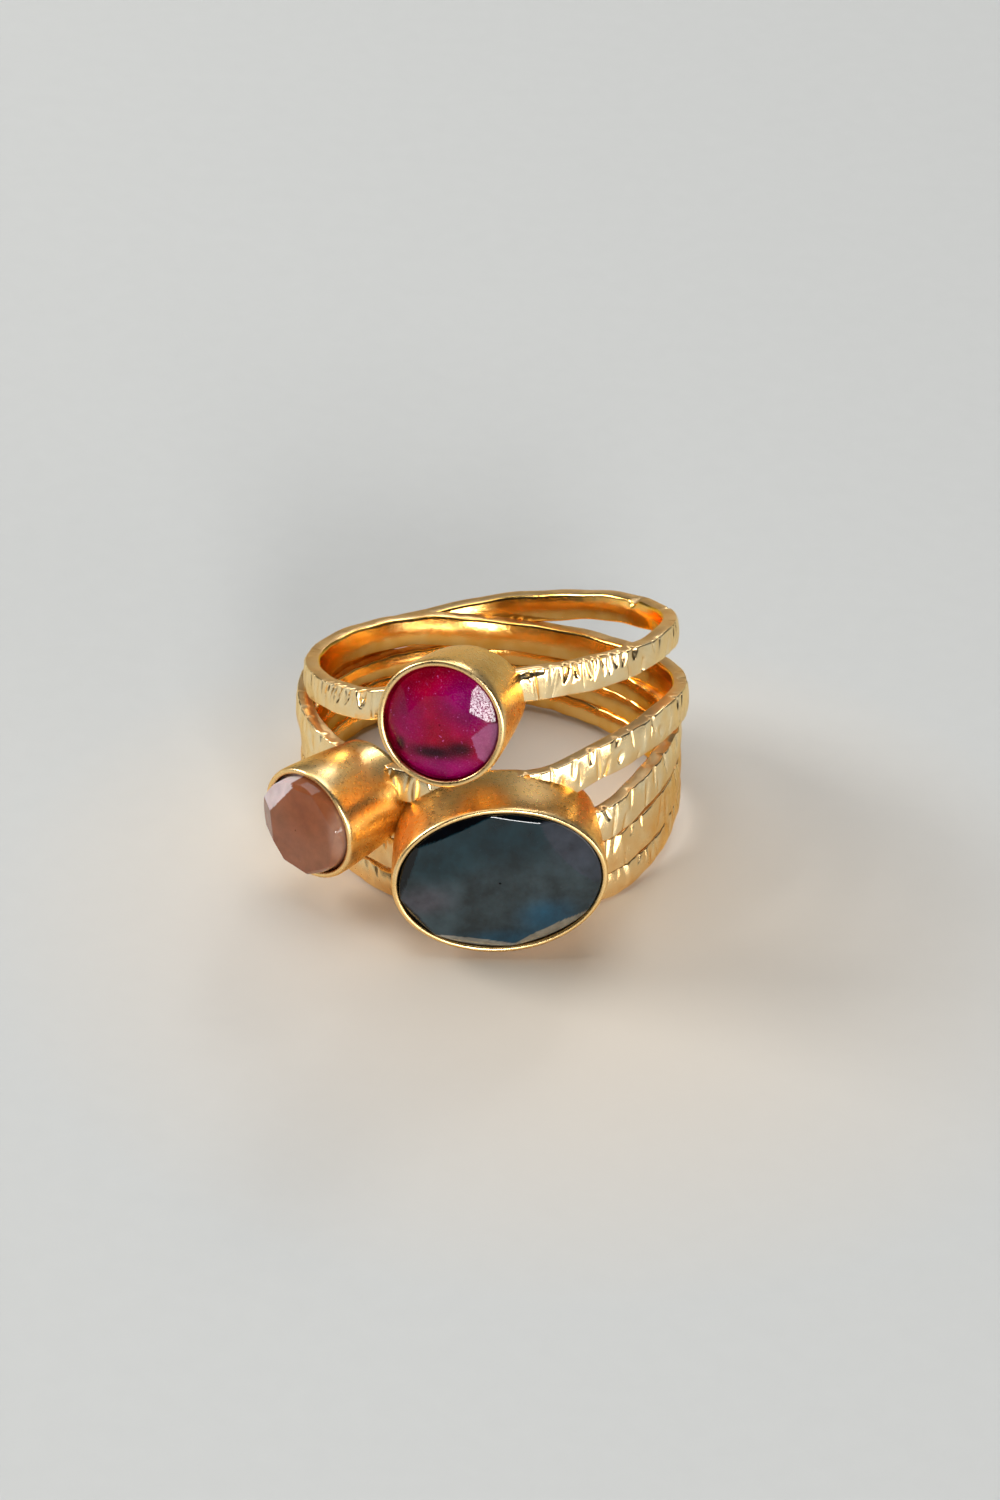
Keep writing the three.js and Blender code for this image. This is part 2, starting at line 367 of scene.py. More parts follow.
@dataclass(frozen=True)
class HammerMarks:
    """Seeded hammer marks along a strand's outer face."""

    seed: int
    length: float
    notches: tuple[Mark, ...] = ()
    mark_depth: float = 0.17
    mark_spacing: float = 0.48
    mark_jitter: float = 0.45
    mark_middles: tuple[float, ...] = (-0.9, -0.1, 0.6, 1.0, 1.0)
    mark_wander: float = 0.2
    mark_reaches: tuple[float, float] = (0.4, 1.25)
    mark_widths: tuple[float, float] = (0.06, 0.17)
    mark_slant: float = 0.3
    mark_strengths: tuple[float, float] = (0.2, 1.0)
    longest_mark: float = 0.9
    facet_length: float = 1.5
    facet_shift: float = 0.35
    facet_depth: float = 0.05
    facet_strengths: tuple[float, float] = (0.3, 1.3)
    facet_lean: float = 0.7
    facet_slide: float = 0.5

    def depth(self, along: np.ndarray, across: np.ndarray, half: np.ndarray) -> np.ndarray:
        """Depth of all marks, in millimetres, on a grid of points.

        Args:
            along: Distance of each ring along the strand.
            across: Place of each column across the face, from -1 to 1.
            half: Half width of the strand at each ring.

        Returns:
            Array of shape (rings, columns), positive into the metal.
        """
        random = np.random.default_rng(self.seed)
        total = self.facets(random, along, across)
        for index in range(int(self.length / self.mark_spacing)):
            self.press(total, along, across, half, self.random_mark(random, index))
        for notch in self.notches:
            self.press(total, along, across, half, notch)
        return total

    def random_mark(self, random: np.random.Generator, index: int) -> Mark:
        """Draws one light mark.

        Args:
            random: Seeded number source.
            index: Number of the mark along the strand.

        Returns:
            The mark.
        """
        shift = random.uniform(-self.mark_jitter, self.mark_jitter)
        middle = random.choice(self.mark_middles)
        return Mark(
            along=(index + shift) * self.mark_spacing,
            middle=middle + random.uniform(-self.mark_wander, self.mark_wander),
            reach=random.uniform(*self.mark_reaches),
            width=random.uniform(*self.mark_widths),
            slant=random.uniform(-self.mark_slant, self.mark_slant),
            depth=self.mark_depth * random.uniform(*self.mark_strengths),
        )

    def press(
        self,
        total: np.ndarray,
        along: np.ndarray,
        across: np.ndarray,
        half: np.ndarray,
        mark: Mark,
    ) -> None:
        """Adds one mark to the depth grid.

        Args:
            total: Depth grid, changed in place.
            along: Distance of each ring along the strand.
            across: Place of each column across the face.
            half: Half width of the strand at each ring.
            mark: The mark to press.
        """
        gap = np.mod(along - mark.along + self.length / 2, self.length) - self.length / 2
        near = np.nonzero(np.abs(gap) < self.longest_mark)[0]
        if len(near) == 0:
            return
        lift = (across[None, :] - mark.middle) * half[near][:, None]
        taper = np.clip(1 - (lift / mark.reach) ** 2, 0, 1)
        width = mark.width * (0.4 + 0.6 * taper)
        side = np.abs(gap[near][:, None] - mark.slant * lift) / width
        total[near] += mark.depth * np.exp(-(side**1.7)) * taper**0.6

    def facets(
        self, random: np.random.Generator, along: np.ndarray, across: np.ndarray
    ) -> np.ndarray:
        """Broad shallow scallops with crisp ridges between them.

        Args:
            random: Seeded number source.
            along: Distance of each ring along the strand.
            across: Place of each column across the face.

        Returns:
            Depth grid of shape (rings, columns).
        """
        count = max(3, int(self.length / self.facet_length))
        edges = np.arange(count + 1) * self.length / count
        shifts = random.uniform(-self.facet_shift, self.facet_shift, count - 1)
        edges[1:-1] += shifts * self.facet_length
        depths = self.facet_depth * random.uniform(*self.facet_strengths, count)
        leans = random.uniform(-self.facet_lean, self.facet_lean, count)
        slides = random.uniform(-self.facet_slide, self.facet_slide, count)
        cell = np.clip(np.searchsorted(edges, along, side="right") - 1, 0, count - 1)
        width = edges[cell + 1] - edges[cell]
        part = 2 * (along - edges[cell]) / width - 1
        hollow = depths[cell] * (1 - part * part)
        lean = leans[cell][:, None] * across[None, :]
        slide = slides[cell][:, None] * part[:, None] * across[None, :]
        return hollow[:, None] * (1 + lean + slide)


@dataclass(frozen=True)
class Strand:
    """Flat hammered strand swept round the finger."""

    name: str
    table: StrandTable
    seed: int
    mark_depth: float = 0.17
    painted_outer_tone: PaintedOuterTone = PaintedOuterTone.PALE
    notches: tuple[tuple[float, ...], ...] = ()
    pits: tuple[Pit, ...] = ()
    step: float = 0.06
    face_columns: int = 21
    inner_columns: int = 7
    corner_points: int = 4
    edge_round: float = 0.1
    inner_round: float = 0.2
    crown: float = 0.06
    hollow: float = 0.08
    edge_wobble: float = 0.02
    edge_waves: tuple[int, int] = (17, 41)

    def length(self) -> float:
        """Returns the strand's length along its outer face."""
        return math.radians(self.table.turn) * STRAND_RADIUS

    def angles(self) -> np.ndarray:
        """Returns the angle of each section, in degrees."""
        count = int(self.length() / self.step)
        return self.table.rows[0][0] + np.arange(count) * self.table.turn / count

    def outline(self) -> np.ndarray:
        """Section points as a table.

        Returns:
            Rows of width sign, thickness share, corner offsets across and outward, and
            how strongly hammer marks reach the point.
        """
        rows = []
        for share in np.linspace(-1, 1, self.face_columns):
            rows.append((share, 1.0, 0.0, 0.0, 1.0))
        for sign, base, start in ((1, 1, 90), (1, 0, 0), (-1, 0, -90), (-1, 1, -180)):
            if (sign, base) == (-1, 0):
                for share in np.linspace(1, -1, self.inner_columns + 2)[1:-1]:
                    rows.append((share, 0.0, 0.0, 0.0, 0.0))
            for turn in np.linspace(0, 90, self.corner_points + 1)[1:]:
                angle = math.radians(start - turn)
                out = math.sin(angle)
                over = math.cos(angle)
                strength = max(0.0, out) if base else 0.0
                rows.append((sign, float(base), over, out - (1 if base else -1), strength))
        return np.array(rows[:-1])

    def marks(self) -> HammerMarks:
        """Returns the hammer marks, with the deepest placed by their angle."""
        start = self.table.rows[0][0]
        notches = [
            Mark(math.radians(angle - start) * STRAND_RADIUS, *sizes)
            for angle, *sizes in self.notches
        ]
        return HammerMarks(self.seed, self.length(), tuple(notches), self.mark_depth)

    def ripple(self, along: np.ndarray, angles: np.ndarray, section: np.ndarray) -> np.ndarray:
        """Unevenness of the strand's edges, as a shift across the strand.

        Args:
            along: Distance of each section along the strand.
            angles: Angle of each section.
            section: Section points from outline.

        Returns:
            Shift at each point of each section.
        """
        sign = section[:, 0]
        base = section[:, 1]
        first, second = self.edge_waves
        turns = along / self.length() * 2 * math.pi
        waves = np.sin(turns * first) + np.sin(turns * second + self.seed)
        shift = self.edge_wobble * waves[:, None] * sign[None, :]
        for pit in self.pits:
            distance = (angles - pit.angle) * STRAND_RADIUS * math.pi / 180
            bell = np.exp(-((distance / pit.width) ** 2))
            dipped = (sign >= 1) & (base != pit.spared)
            shift = shift - pit.depth * bell[:, None] * dipped[None, :]
        return shift

    def points(self, angles: np.ndarray) -> np.ndarray:
        """Sweeps the section round the finger.

        Args:
            angles: Angle of each section in degrees.

        Returns:
            Array of shape (count, 3) in ring millimetres, section after section.
        """
        along = np.arange(len(angles)) * self.length() / len(angles)
        height = self.table.column(Column.HEIGHT, angles) * FRONT_HEIGHT
        half = self.table.column(Column.WIDTH, angles) * STRAND_WIDTH / 2
        inner = FINGER_HOLE_RADIUS + self.table.column(Column.REACH, angles) * STRAND_THICKNESS
        section = self.outline()
        sign, base, over, out, strength = section.T
        dents = self.marks().depth(along, sign, half) * strength
        corner = np.where(base > 0, self.edge_round, self.inner_round)
        lift = sign[None, :] * (half[:, None] - corner[None, :]) + (over * corner)[None, :]
        outward = inner[:, None] + base[None, :] * STRAND_THICKNESS + (out * corner)[None, :]
        dome = self.crown * (1 - sign * sign) * base
        comfort = self.hollow * (1 - base) * sign * sign
        outward = outward - dents + dome[None, :] - self.crown * base[None, :] + comfort[None, :]
        radians = np.radians(angles)[:, None]
        upward = height[:, None] + lift + self.ripple(along, angles, section)
        grid = np.stack([outward * np.cos(radians), outward * np.sin(radians), upward], axis=-1)
        return grid.reshape(-1, 3)

    def kinds(self) -> np.ndarray:
        """Returns which finish each face of one section takes."""
        upper_edge = self.face_columns + self.corner_points - 1
        lower_edge = upper_edge + 2 * self.corner_points + self.inner_columns
        kinds = np.full(len(self.outline()), Face.OUTER, dtype=np.int32)
        kinds[upper_edge + 1 : lower_edge] = Face.INNER
        kinds[[upper_edge, lower_edge]] = Face.EDGE
        return kinds

    def build(self, place: RingFrame, finishes: list[bpy.types.Material]) -> bpy.types.Object:
        """Makes the strand and gives its faces their finishes.

        Args:
            place: The ring's own frame.
            finishes: Finishes of the outer face, of both edges and of the inner face.

        Returns:
            The strand's object.
        """
        angles = self.angles()
        kinds = self.kinds()
        faces = grid_faces(len(angles), len(kinds), True)
        piece = MeshPiece(self.name).build(place.place(self.points(angles)), faces)
        for finish in finishes:
            piece.data.materials.append(finish)
        piece.data.polygons.foreach_set("material_index", np.tile(kinds, len(angles)))
        return piece


@dataclass(frozen=True)
class Cup:
    """Place and size of one bezel cup and of its stone.

    The angle, the height as a share of FRONT_HEIGHT, the lean and the swing place the rim
    and its facing. The turn is about the cup's own axis.
    """

    key: str
    half_length: float
    half_width: float
    angle: float
    height: float
    lean: float
    taper: float
    rim_inset: float
    seed: int
    swing: float = 0.0
    turn: float = 0.0
    wall: float = 0.2

    def axes(self) -> tuple[np.ndarray, np.ndarray, np.ndarray, np.ndarray]:
        """Returns the rim's centre and the right, up and outward directions."""
        lean = math.radians(self.lean)
        angle = math.radians(self.angle)
        facing = angle + math.radians(self.swing)
        outward = np.array(
            [
                math.cos(lean) * math.cos(facing),
                math.cos(lean) * math.sin(facing),
                math.sin(lean),
            ]
        )
        right = np.array([-math.sin(facing), math.cos(facing), 0.0])
        reach = FINGER_HOLE_RADIUS + RIM_REACH
        centre = np.array(
            [reach * math.cos(angle), reach * math.sin(angle), self.height * FRONT_HEIGHT]
        )
        return centre, right, np.cross(outward, right), outward

    def points(self, along: np.ndarray, across: np.ndarray, level: np.ndarray) -> np.ndarray:
        """Ring-frame points from a cup's own coordinates.

        Args:
            along: Distances along the stone's long side.
            across: Distances along its short side.
            level: Distances outward from the rim.

        Returns:
            Array of shape (count, 3) in ring millimetres.
        """
        centre, right, upward, outward = self.axes()
        turn = math.radians(self.turn)
        sideways = along * math.cos(turn) - across * math.sin(turn)
        raised = along * math.sin(turn) + across * math.cos(turn)
        return (
            centre
            + sideways[:, None] * right
            + raised[:, None] * upward
            + level[:, None] * outward
        )

    def saddle_level(self, along: np.ndarray, across: np.ndarray, radius: float) -> np.ndarray:
        """Level at which a line along the cup's axis meets the finger bar.

        Args:
            along: Distances along the stone's long side.
            across: Distances along its short side.
            radius: The bar's radius.

        Returns:
            Level of each line's nearest meeting point.
        """
        start = self.points(along, across, np.zeros(len(along)))
        outward = self.axes()[3]
        square = outward[0] ** 2 + outward[1] ** 2
        mixed = start[:, 0] * outward[0] + start[:, 1] * outward[1]
        rest = start[:, 0] ** 2 + start[:, 1] ** 2 - radius**2
        root = np.sqrt(np.maximum(mixed**2 - square * rest, 0))
        return (-mixed + root) / square


@dataclass(frozen=True)
class BezelCup:
    """Thin-walled cup with a burnished rim, backed by a saddle on the strands."""

    cup: Cup
    sides: int = 160
    wall_rows: int = 15
    saddle_shares: tuple[float, ...] = (0.02, 0.3, 0.6, 0.85)
    belly: float = 0.035
    foot_noise: float = 0.02
    rim_unevenness: float = 0.03
    noise_waves: tuple[int, ...] = (2, 3, 5, 8, 13, 21)
    noise_peak: float = 2.2

    def angles(self) -> np.ndarray:
        """Returns the angles round the cup's axis, in radians."""
        return np.arange(self.sides) / self.sides * 2 * math.pi

    def rim_noise(self, angles: np.ndarray, scale: float, offset: int) -> np.ndarray:
        """Smooth seeded unevenness round the rim.

        Args:
            angles: Angles round the cup in radians.
            scale: Largest size of the unevenness.
            offset: Number that makes this call differ from others.

        Returns:
            Offset at each angle.
        """
        random = np.random.default_rng(self.cup.seed * 31 + offset)
        total = np.zeros_like(angles)
        for wave in self.noise_waves:
            phase = random.uniform(0, 2 * math.pi)
            total += random.uniform(0.4, 1.0) * np.sin(wave * angles + phase) / wave**0.5
        return total * scale / self.noise_peak

    def ring(
        self, spread: float | np.ndarray, level: float | np.ndarray
    ) -> tuple[np.ndarray, np.ndarray, np.ndarray]:
        """Oval of points about the axis.

        Args:
            spread: Distance beyond the stone's edge.
            level: Distance outward from the rim.

        Returns:
            Along, across and level values of the points.
        """
        angles = self.angles()
        along = (self.cup.half_length + spread) * np.cos(angles)
        across = (self.cup.half_width + spread) * np.sin(angles)
        return along, across, np.broadcast_to(level, angles.shape).astype(float)

    def wall_rings(self) -> list[np.ndarray]:
        """Returns the rings from the middle of the saddle up the outer wall."""
        cup = self.cup
        wall = cup.wall + STONE_GAP
        radius = FINGER_HOLE_RADIUS + STRAND_THICKNESS * SADDLE_SHARE
        foot_along, foot_across, _ = self.ring(wall - cup.taper, 0.0)
        foot = cup.saddle_level(foot_along, foot_across, radius)
        rings = []
        for share in self.saddle_shares:
            along = foot_along * share
            across = foot_across * share
            rings.append(cup.points(along, across, cup.saddle_level(along, across, radius)))
        for share in np.linspace(0, 1, self.wall_rows):
            level = foot + (SEAT_LEVEL - foot) * share
            spread = wall - cup.taper * (1 - share) + self.belly * math.sin(share * math.pi)
            uneven = self.rim_noise(self.angles(), self.foot_noise, 1)
            rings.append(cup.points(*self.ring(spread + uneven * (1 - share), level)))
        return rings

    def rim_rings(self) -> list[np.ndarray]:
        """Returns the rings over the burnished rim to the stone's edge."""
        cup = self.cup
        wall = cup.wall + STONE_GAP
        uneven = self.rim_noise(self.angles(), self.rim_unevenness, 2)
        height = self.rim_noise(self.angles(), self.rim_unevenness, 3)
        # Distance beyond the stone's edge and level above the rim
        profile = (
            (wall + 0.01, -0.4),
            (wall + 0.005, -0.22),
            (wall - 0.015, -0.1),
            (wall - 0.05, -0.03),
            (wall - 0.1, 0.0),
            (wall * 0.5 - cup.rim_inset * 0.5, 0.01),
            (-cup.rim_inset + 0.08, 0.0),
            (-cup.rim_inset + 0.03, -0.03),
            (-cup.rim_inset, -0.08),
            (-cup.rim_inset, -BEZEL_LIP * 1.15),
        )
        rings = []
        for spread, level in profile:
            fade = min(1.0, (level + 0.5) / 0.4)
            ring = self.ring(spread + uneven * fade * 0.7, level + height * fade)
            rings.append(cup.points(*ring))
        return rings

    def seat_rings(self) -> list[np.ndarray]:
        """Returns the rings of the seat under the stone."""
        small = min(self.cup.half_length, self.cup.half_width)
        # Distance beyond the stone's edge and level above the rim
        profile = (
            (STONE_GAP, -BEZEL_LIP * 1.9),
            (STONE_GAP, SEAT_LEVEL - STONE_GAP),
            (STONE_GAP - small * 0.85, SEAT_LEVEL - PAVILION_DEPTH - STONE_GAP * 1.5),
            (-small * 0.99, SEAT_LEVEL - PAVILION_DEPTH - STONE_GAP * 1.6),
        )
        return [self.cup.points(*self.ring(spread, level)) for spread, level in profile]

    def build(self, place: RingFrame, finish: bpy.types.Material) -> bpy.types.Object:
        """Lofts the cup from its saddle over the rim to the bottom of its seat.

        Args:
            place: The ring's own frame.
            finish: Metal finish.

        Returns:
            The cup's object.
        """
        rings = self.wall_rings() + self.rim_rings() + self.seat_rings()
        faces = grid_faces(len(rings), self.sides, False)
        points = place.place(np.concatenate(rings))
        piece = MeshPiece(f"cup_{self.cup.key}").build(points, faces)
        piece.data.materials.append(finish)
        return piece


@dataclass(frozen=True)
class StoneCut:
    """Top of a stone: a slightly domed table cut by flat facets."""

    cup: Cup
    table_level: float
    dome: float
    facets: tuple[Facet, ...]
    # Pale or dark reflections painted onto single facets
    painted_reflections: tuple[Tint, ...]
    rise: float = 0.0
    edge_inset: float = 0.2

    def top(self, along: np.ndarray, across: np.ndarray) -> tuple[np.ndarray, np.ndarray]:
        """Level of the stone's top above the cup's rim plane.

        Args:
            along: Distances along the stone's long side.
            across: Distances along its short side.

        Returns:
            Lowest of the table and of all facets, and which facet it is, -1 for the table.
        """
        cup = self.cup
        square = (along / cup.half_length) ** 2 + (across / cup.half_width) ** 2
        level = self.table_level - self.dome * square - self.rise * along
        owner = np.full(len(along), -1)
        for number, facet in enumerate(self.facets):
            share = facet.share
            turn = math.radians(facet.angle)
            foot = np.array([cup.half_length * math.cos(turn), cup.half_width * math.sin(turn)])
            facing = np.array([math.cos(turn) / cup.half_length, math.sin(turn) / cup.half_width])
            facing = facing / np.linalg.norm(facing)
            start = share * float(foot @ facing)
            foot_level = self.table_level - self.dome * share**2 - self.rise * share * foot[0]
            beyond = along * facing[0] + across * facing[1] - start
            plane = foot_level - math.tan(math.radians(facet.slope)) * beyond
            owner = np.where(plane < level, number, owner)
            level = np.minimum(level, plane)
        return level, owner

    def with_painted_reflections(self, colours: np.ndarray, owner: np.ndarray) -> np.ndarray:
        """Blends the painted facet reflections over the stone's colours.

        Args:
            colours: Linear colours with alpha, one a point.
            owner: Facet number of each point.

        Returns:
            The colours with the painted facet reflections.
        """
        result = colours.copy()
        for tint in self.painted_reflections:
            inside = (owner == tint.facet)[:, None] * tint.strength
            result = result * (1 - inside) + np.array([*tint.colour, 1.0]) * inside
        return result


@dataclass(frozen=True)
class StoneTones:
    """Colours in a stone, placed in its own plane: its own tones, with painted shade, sheen and
    reflection among them.
    """

    base: Colour
    patches: tuple[Patch, ...]

    def colours(self, along: np.ndarray, across: np.ndarray) -> np.ndarray:
        """Blends soft oval patches over the base colour.

        Args:
            along: Place along the stone, from -1 to 1.
            across: Place across the stone, from -1 to 1.

        Returns:
            Array of linear colours with alpha, one a point.
        """
        result = np.tile(np.array([*self.base, 1.0]), (len(along), 1))
        for patch in self.patches:
            square = ((along - patch.along) / patch.length) ** 2
            square = square + ((across - patch.across) / patch.width) ** 2
            share = (patch.strength * np.exp(-(square**1.5)))[:, None]
            result = result * (1 - share) + np.array([*patch.colour, 1.0]) * share
        return result


@dataclass(frozen=True)
class CutStone:
    """Faceted stone with girdle and pavilion, and its colours, painted shade, sheen and reflections
    among them, as vertex colours.
    """

    cut: StoneCut
    tones: StoneTones
    sides: int = 168
    rows: int = 52
    first_row: float = 0.004
    row_spread: float = 0.8
    girdle_gap: float = 0.02

    def rings(self) -> list[tuple[np.ndarray, np.ndarray, np.ndarray]]:
        """Rings of points from the stone's middle over the girdle to the keel.

        Returns:
            Along, across and level values of each ring.
        """
        cup = self.cut.cup
        inset = self.cut.edge_inset
        angles = np.arange(self.sides) / self.sides * 2 * math.pi
        rings = []
        for share in np.linspace(self.first_row, 1, self.rows) ** self.row_spread:
            along = (cup.half_length - inset) * share * np.cos(angles)
            across = (cup.half_width - inset) * share * np.sin(angles)
            rings.append((along, across, self.cut.top(along, across)[0]))
        last = rings[-1][2]
        small = min(cup.half_length, cup.half_width)
        # Distance beyond the stone's edge and level above the rim
        profile = (
            (-inset, np.minimum(last - 0.03, -BEZEL_LIP * 1.4)),
            (-self.girdle_gap, np.full(self.sides, -GIRDLE_DEPTH)),
            (-self.girdle_gap, np.full(self.sides, SEAT_LEVEL)),
            (-small * 0.9, np.full(self.sides, SEAT_LEVEL - PAVILION_DEPTH)),
            (-small * 0.99, np.full(self.sides, SEAT_LEVEL - PAVILION_DEPTH)),
        )
        for spread, level in profile:
            along = (cup.half_length + spread) * np.cos(angles)
            across = (cup.half_width + spread) * np.sin(angles)
            rings.append((along, across, level))
        return rings

    def build(self, place: RingFrame, finish: bpy.types.Material) -> bpy.types.Object:
        """Makes the stone and stores its tones.

        Args:
            place: The ring's own frame.
            finish: Stone finish.

        Returns:
            The stone's object.
        """
        cup = self.cut.cup
        rings = self.rings()
        along, across, level = [np.concatenate(values) for values in zip(*rings)]
        faces = grid_faces(len(rings), self.sides, False)[:, ::-1]
        points = place.place(cup.points(along, across, level))
        piece = MeshPiece(f"stone_{cup.key}").build(points, faces)
        colours = self.tones.colours(along / cup.half_length, across / cup.half_width)
        # Painted facet reflections go over the stone's colours
        colours = self.cut.with_painted_reflections(colours, self.cut.top(along, across)[1])
        layer = piece.data.color_attributes.new("tone", "FLOAT_COLOR", "POINT")
        layer.data.foreach_set("color", colours.astype(np.float32).ravel())
        piece.data.materials.append(finish)
        return piece


class NodeTree:
    """Small helper that adds and links shader nodes."""

    def __init__(self, name: str) -> None:
        """Starts a material with a surface, an output and object coordinates.

        Args:
            name: The material's name.
        """
        self.material = bpy.data.materials.new(name)
        self.material.use_nodes = True
        self.tree = self.material.node_tree
        self.tree.nodes.clear()
        self.output = self.add("ShaderNodeOutputMaterial")
        self.surface = self.add("ShaderNodeBsdfPrincipled")
        self.link(self.surface.outputs["BSDF"], self.output.inputs["Surface"])
        self.place = self.add("ShaderNodeTexCoord").outputs["Object"]

    def add(self, kind: str, **values: object) -> bpy.types.Node:
        """Adds a node.

        Args:
            kind: Blender's node type.
            **values: Properties to set on it.

        Returns:
            The new node.
        """
        node = self.tree.nodes.new(kind)
        for key, value in values.items():
            setattr(node, key, value)
        return node

    def link(self, start: bpy.types.NodeSocket, end: bpy.types.NodeSocket) -> None:
        """Joins two sockets."""
        self.tree.links.new(start, end)

    def noise(self, scale: float, detail: float, roughness: float = 0.5) -> bpy.types.NodeSocket:
        """Adds fractal noise in object space.

        Args:
            scale: Cells in a metre.
            detail: Octaves.
            roughness: Strength of the finer octaves.

        Returns:
            The noise's factor.
        """
        node = self.add("ShaderNodeTexNoise")
        node.inputs["Scale"].default_value = scale
        node.inputs["Detail"].default_value = detail
        node.inputs["Roughness"].default_value = roughness
        self.link(self.place, node.inputs["Vector"])
        return node.outputs["Fac"]

    def span(
        self, factor: bpy.types.NodeSocket, source: tuple[float, float], result: tuple[float, float]
    ) -> bpy.types.NodeSocket:
        """Maps a factor from one span to another.

        Args:
            factor: Value to map.
            source: Low and high value that come in.
            result: Low and high value that go out.

        Returns:
            The mapped value.
        """
        node = self.add("ShaderNodeMapRange")
        self.link(factor, node.inputs["Value"])
        node.inputs["From Min"].default_value = source[0]
        node.inputs["From Max"].default_value = source[1]
        node.inputs["To Min"].default_value = result[0]
        node.inputs["To Max"].default_value = result[1]
        return node.outputs["Result"]

    def ramp(
        self,
        factor: bpy.types.NodeSocket,
        stops: tuple[tuple[float, Colour], ...],
    ) -> bpy.types.NodeSocket:
        """Colours a factor.

        Args:
            factor: Value from 0 to 1.
            stops: Positions and linear colours.

        Returns:
            The colour.
        """
        node = self.add("ShaderNodeValToRGB")
        band = node.color_ramp
        while len(band.elements) < len(stops):
            band.elements.new(0.5)
        for element, (position, colour) in zip(band.elements, stops):
            element.position = position
            element.color = (*colour, 1.0)
        self.link(factor, node.inputs["Fac"])
        return node.outputs["Color"]

    def tint(
        self, factor: bpy.types.NodeSocket, first: bpy.types.NodeSocket, colour: Colour
    ) -> bpy.types.NodeSocket:
        """Blends one colour over another.

        Args:
            factor: 0 for the first, 1 for the colour.
            first: First colour.
            colour: Linear colour to blend in.

        Returns:
            The blend.
        """
        node = self.add("ShaderNodeMix", data_type="RGBA")
        self.link(factor, node.inputs["Factor"])
        self.link(first, node.inputs["A"])
        node.inputs["B"].default_value = (*colour, 1.0)
        return node.outputs["Result"]

    def bump(
        self,
        height: bpy.types.NodeSocket,
        strength: float,
        distance: float,
        below: bpy.types.NodeSocket | None = None,
    ) -> bpy.types.NodeSocket:
        """Adds a bump.

        Args:
            height: Height from 0 to 1.
            strength: Share of the bump that shows.
            distance: Height of the bump in metres.
            below: Normal of an earlier bump.

        Returns:
            The bumped normal.
        """
        node = self.add("ShaderNodeBump")
        node.inputs["Strength"].default_value = strength
        node.inputs["Distance"].default_value = distance
        self.link(height, node.inputs["Height"])
        if below is not None:
            self.link(below, node.inputs["Normal"])
        return node.outputs["Normal"]


@dataclass(frozen=True)
class GoldFinish:
    """Plated gold with its own polish and grain. Noise scales are cells in a metre."""

    name: str
    light: Colour
    deep: Colour
    smooth: float
    rough: float
    wave_height: float = 0.00003
    wave_scale: float = 1500.0
    grain_height: float = 0.000006
    grain_scale: float = 26000.0
    patch_scale: float = 900.0
    worn_scale: float = 5000.0

    def build(self) -> bpy.types.Material:
        """Returns the material."""
        nodes = NodeTree(self.name)
        patches = nodes.noise(self.patch_scale, 3.0)
        grain = nodes.noise(self.grain_scale, 3.0, 0.6)
        waves = nodes.noise(self.wave_scale, 2.0)
        worn = nodes.noise(self.worn_scale, 4.0, 0.65)
        colour = nodes.ramp(patches, ((0.3, self.deep), (0.68, self.light)))
        nodes.link(colour, nodes.surface.inputs["Base Color"])
        rough = nodes.span(worn, (0.3, 0.7), (self.smooth, self.rough))
        nodes.link(rough, nodes.surface.inputs["Roughness"])
        nodes.surface.inputs["Metallic"].default_value = 1.0
        nodes.surface.inputs["Specular Tint"].default_value = (*self.light, 1.0)
        broad = nodes.bump(waves, 0.6, self.wave_height)
        fine = nodes.bump(grain, 0.7, self.grain_height, broad)
        nodes.link(fine, nodes.surface.inputs["Normal"])
        return nodes.material


